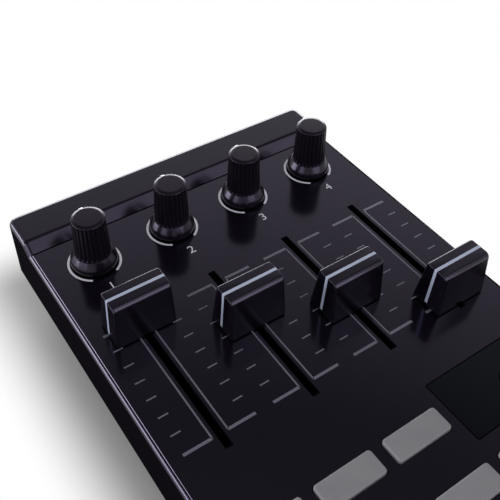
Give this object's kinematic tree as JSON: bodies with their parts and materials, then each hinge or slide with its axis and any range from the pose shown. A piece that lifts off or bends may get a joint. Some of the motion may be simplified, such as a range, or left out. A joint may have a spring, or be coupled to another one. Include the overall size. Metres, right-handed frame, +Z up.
{
  "type": "dj mixer",
  "caption": "Compact DJ mixer controller: a flat case with a raised rear strip, turning knobs, sliding faders, a display window with a push encoder, and rows of pads.",
  "frame": {"origin": "centre of the footprint, on the table under the feet", "axes": "+X to the right of the person who uses it, +Y towards the raised rear strip, +Z up"},
  "size_m": [0.12, 0.294, 0.0515],
  "materials": {
    "casing": "fine-textured moulded",
    "faceplate": "satin",
    "base": "fine-textured moulded",
    "screw_steel": "blackened",
    "foot_rubber": "matt",
    "board": "lacquered",
    "socket_steel": "tin-plated",
    "mat_rubber": "matt",
    "window": "polished",
    "display": "polished",
    "pot_steel": "zinc-plated",
    "plunger": "moulded",
    "shaft": "turned",
    "knob": "soft-touch",
    "fader_cap": "fine-textured moulded",
    "lever": "stamped",
    "button": "translucent, matt",
    "pad": "translucent, matt"
  },
  "bodies": {
    "chassis": {"upper_casing": "casing", "faceplate": "faceplate", "base_cover": "base", "case_screws": "screw_steel", "rubber_feet": "foot_rubber", "circuit_boards": "board", "usb_socket": "socket_steel", "switch_mat": "mat_rubber", "display_window": "window", "display_module": "display", "rotary_pots": "pot_steel", "slide_pots": "pot_steel", "encoder_body": "pot_steel"},
    "knob_1": {"channel_knob_1": "knob", "knob_shaft_1": "shaft"},
    "knob_2": {"channel_knob_2": "knob", "knob_shaft_2": "shaft"},
    "knob_3": {"channel_knob_3": "knob", "knob_shaft_3": "shaft"},
    "knob_4": {"channel_knob_4": "knob", "knob_shaft_4": "shaft"},
    "fader_1": {"fader_cap_1": "fader_cap", "fader_lever_1": "lever"},
    "fader_2": {"fader_cap_2": "fader_cap", "fader_lever_2": "lever"},
    "fader_3": {"fader_cap_3": "fader_cap", "fader_lever_3": "lever"},
    "fader_4": {"fader_cap_4": "fader_cap", "fader_lever_4": "lever"},
    "encoder_push": {"encoder_plunger": "plunger"},
    "encoder_turn": {"encoder_shaft": "shaft", "encoder_knob": "knob"},
    "upper_button_1_key": {"upper_button_1": "button"},
    "upper_button_2_key": {"upper_button_2": "button"},
    "upper_button_3_key": {"upper_button_3": "button"},
    "lower_button_1_key": {"lower_button_1": "button"},
    "lower_button_2_key": {"lower_button_2": "button"},
    "lower_button_3_key": {"lower_button_3": "button"},
    "lower_button_4_key": {"lower_button_4": "button"},
    "lower_button_5_key": {"lower_button_5": "button"},
    "pad_row1_1_key": {"pad_row1_1": "pad"},
    "pad_row1_2_key": {"pad_row1_2": "pad"},
    "pad_row1_3_key": {"pad_row1_3": "pad"},
    "pad_row1_4_key": {"pad_row1_4": "pad"},
    "pad_row2_1_key": {"pad_row2_1": "pad"},
    "pad_row2_2_key": {"pad_row2_2": "pad"},
    "pad_row2_3_key": {"pad_row2_3": "pad"},
    "pad_row2_4_key": {"pad_row2_4": "pad"},
    "pad_row3_1_key": {"pad_row3_1": "pad"},
    "pad_row3_2_key": {"pad_row3_2": "pad"},
    "pad_row3_3_key": {"pad_row3_3": "pad"},
    "pad_row3_4_key": {"pad_row3_4": "pad"},
    "pad_row4_1_key": {"pad_row4_1": "pad"},
    "pad_row4_2_key": {"pad_row4_2": "pad"},
    "pad_row4_3_key": {"pad_row4_3": "pad"},
    "pad_row4_4_key": {"pad_row4_4": "pad"},
    "stop_button_1_key": {"stop_button_1": "button"},
    "stop_button_2_key": {"stop_button_2": "button"},
    "stop_button_3_key": {"stop_button_3": "button"},
    "stop_button_4_key": {"stop_button_4": "button"}
  },
  "joints": [
    {"name": "knob_1_turn", "type": "hinge", "parent": "chassis", "child": "knob_1", "pos_m": [-0.04303, 0.1162, 0.04], "axis": [0, 0, 1], "range_deg": [-150, 150]},
    {"name": "knob_2_turn", "type": "hinge", "parent": "chassis", "child": "knob_2", "pos_m": [-0.01435, 0.1162, 0.04], "axis": [0, 0, 1], "range_deg": [-150, 150]},
    {"name": "knob_3_turn", "type": "hinge", "parent": "chassis", "child": "knob_3", "pos_m": [0.01435, 0.1162, 0.04], "axis": [0, 0, 1], "range_deg": [-150, 150]},
    {"name": "knob_4_turn", "type": "hinge", "parent": "chassis", "child": "knob_4", "pos_m": [0.04303, 0.1162, 0.04], "axis": [0, 0, 1], "range_deg": [-150, 150]},
    {"name": "fader_1_slide", "type": "slide", "parent": "chassis", "child": "fader_1", "axis": [0, 1, 0], "range_m": [-0.0441, 0.0009]},
    {"name": "fader_2_slide", "type": "slide", "parent": "chassis", "child": "fader_2", "axis": [0, 1, 0], "range_m": [-0.02846, 0.01654]},
    {"name": "fader_3_slide", "type": "slide", "parent": "chassis", "child": "fader_3", "axis": [0, 1, 0], "range_m": [-0.0175, 0.02749]},
    {"name": "fader_4_slide", "type": "slide", "parent": "chassis", "child": "fader_4", "axis": [0, 1, 0], "range_m": [-0.0022, 0.04279]},
    {"name": "encoder_press", "type": "slide", "parent": "chassis", "child": "encoder_push", "axis": [0, 0, -1], "range_m": [0, 0.0005], "stiffness_N_per_m": 800, "springref_m": -0.0005},
    {"name": "encoder_turn", "type": "hinge", "parent": "encoder_push", "child": "encoder_turn", "pos_m": [0.04584, 0.0134, 0.04], "axis": [0, 0, 1], "continuous": true},
    {"name": "upper_button_1_press", "type": "slide", "parent": "chassis", "child": "upper_button_1_key", "axis": [0, 0, -1], "range_m": [0, 0.001], "stiffness_N_per_m": 300, "springref_m": -0.0005},
    {"name": "upper_button_2_press", "type": "slide", "parent": "chassis", "child": "upper_button_2_key", "axis": [0, 0, -1], "range_m": [0, 0.001], "stiffness_N_per_m": 300, "springref_m": -0.0005},
    {"name": "upper_button_3_press", "type": "slide", "parent": "chassis", "child": "upper_button_3_key", "axis": [0, 0, -1], "range_m": [0, 0.001], "stiffness_N_per_m": 300, "springref_m": -0.0005},
    {"name": "lower_button_1_press", "type": "slide", "parent": "chassis", "child": "lower_button_1_key", "axis": [0, 0, -1], "range_m": [0, 0.001], "stiffness_N_per_m": 300, "springref_m": -0.0005},
    {"name": "lower_button_2_press", "type": "slide", "parent": "chassis", "child": "lower_button_2_key", "axis": [0, 0, -1], "range_m": [0, 0.001], "stiffness_N_per_m": 300, "springref_m": -0.0005},
    {"name": "lower_button_3_press", "type": "slide", "parent": "chassis", "child": "lower_button_3_key", "axis": [0, 0, -1], "range_m": [0, 0.001], "stiffness_N_per_m": 300, "springref_m": -0.0005},
    {"name": "lower_button_4_press", "type": "slide", "parent": "chassis", "child": "lower_button_4_key", "axis": [0, 0, -1], "range_m": [0, 0.001], "stiffness_N_per_m": 300, "springref_m": -0.0005},
    {"name": "lower_button_5_press", "type": "slide", "parent": "chassis", "child": "lower_button_5_key", "axis": [0, 0, -1], "range_m": [0, 0.001], "stiffness_N_per_m": 300, "springref_m": -0.0005},
    {"name": "pad_row1_1_press", "type": "slide", "parent": "chassis", "child": "pad_row1_1_key", "axis": [0, 0, -1], "range_m": [0, 0.001], "stiffness_N_per_m": 300, "springref_m": -0.0005},
    {"name": "pad_row1_2_press", "type": "slide", "parent": "chassis", "child": "pad_row1_2_key", "axis": [0, 0, -1], "range_m": [0, 0.001], "stiffness_N_per_m": 300, "springref_m": -0.0005},
    {"name": "pad_row1_3_press", "type": "slide", "parent": "chassis", "child": "pad_row1_3_key", "axis": [0, 0, -1], "range_m": [0, 0.001], "stiffness_N_per_m": 300, "springref_m": -0.0005},
    {"name": "pad_row1_4_press", "type": "slide", "parent": "chassis", "child": "pad_row1_4_key", "axis": [0, 0, -1], "range_m": [0, 0.001], "stiffness_N_per_m": 300, "springref_m": -0.0005},
    {"name": "pad_row2_1_press", "type": "slide", "parent": "chassis", "child": "pad_row2_1_key", "axis": [0, 0, -1], "range_m": [0, 0.001], "stiffness_N_per_m": 300, "springref_m": -0.0005},
    {"name": "pad_row2_2_press", "type": "slide", "parent": "chassis", "child": "pad_row2_2_key", "axis": [0, 0, -1], "range_m": [0, 0.001], "stiffness_N_per_m": 300, "springref_m": -0.0005},
    {"name": "pad_row2_3_press", "type": "slide", "parent": "chassis", "child": "pad_row2_3_key", "axis": [0, 0, -1], "range_m": [0, 0.001], "stiffness_N_per_m": 300, "springref_m": -0.0005},
    {"name": "pad_row2_4_press", "type": "slide", "parent": "chassis", "child": "pad_row2_4_key", "axis": [0, 0, -1], "range_m": [0, 0.001], "stiffness_N_per_m": 300, "springref_m": -0.0005},
    {"name": "pad_row3_1_press", "type": "slide", "parent": "chassis", "child": "pad_row3_1_key", "axis": [0, 0, -1], "range_m": [0, 0.001], "stiffness_N_per_m": 300, "springref_m": -0.0005},
    {"name": "pad_row3_2_press", "type": "slide", "parent": "chassis", "child": "pad_row3_2_key", "axis": [0, 0, -1], "range_m": [0, 0.001], "stiffness_N_per_m": 300, "springref_m": -0.0005},
    {"name": "pad_row3_3_press", "type": "slide", "parent": "chassis", "child": "pad_row3_3_key", "axis": [0, 0, -1], "range_m": [0, 0.001], "stiffness_N_per_m": 300, "springref_m": -0.0005},
    {"name": "pad_row3_4_press", "type": "slide", "parent": "chassis", "child": "pad_row3_4_key", "axis": [0, 0, -1], "range_m": [0, 0.001], "stiffness_N_per_m": 300, "springref_m": -0.0005},
    {"name": "pad_row4_1_press", "type": "slide", "parent": "chassis", "child": "pad_row4_1_key", "axis": [0, 0, -1], "range_m": [0, 0.001], "stiffness_N_per_m": 300, "springref_m": -0.0005},
    {"name": "pad_row4_2_press", "type": "slide", "parent": "chassis", "child": "pad_row4_2_key", "axis": [0, 0, -1], "range_m": [0, 0.001], "stiffness_N_per_m": 300, "springref_m": -0.0005},
    {"name": "pad_row4_3_press", "type": "slide", "parent": "chassis", "child": "pad_row4_3_key", "axis": [0, 0, -1], "range_m": [0, 0.001], "stiffness_N_per_m": 300, "springref_m": -0.0005},
    {"name": "pad_row4_4_press", "type": "slide", "parent": "chassis", "child": "pad_row4_4_key", "axis": [0, 0, -1], "range_m": [0, 0.001], "stiffness_N_per_m": 300, "springref_m": -0.0005},
    {"name": "stop_button_1_press", "type": "slide", "parent": "chassis", "child": "stop_button_1_key", "axis": [0, 0, -1], "range_m": [0, 0.001], "stiffness_N_per_m": 300, "springref_m": -0.0005},
    {"name": "stop_button_2_press", "type": "slide", "parent": "chassis", "child": "stop_button_2_key", "axis": [0, 0, -1], "range_m": [0, 0.001], "stiffness_N_per_m": 300, "springref_m": -0.0005},
    {"name": "stop_button_3_press", "type": "slide", "parent": "chassis", "child": "stop_button_3_key", "axis": [0, 0, -1], "range_m": [0, 0.001], "stiffness_N_per_m": 300, "springref_m": -0.0005},
    {"name": "stop_button_4_press", "type": "slide", "parent": "chassis", "child": "stop_button_4_key", "axis": [0, 0, -1], "range_m": [0, 0.001], "stiffness_N_per_m": 300, "springref_m": -0.0005}
  ]
}
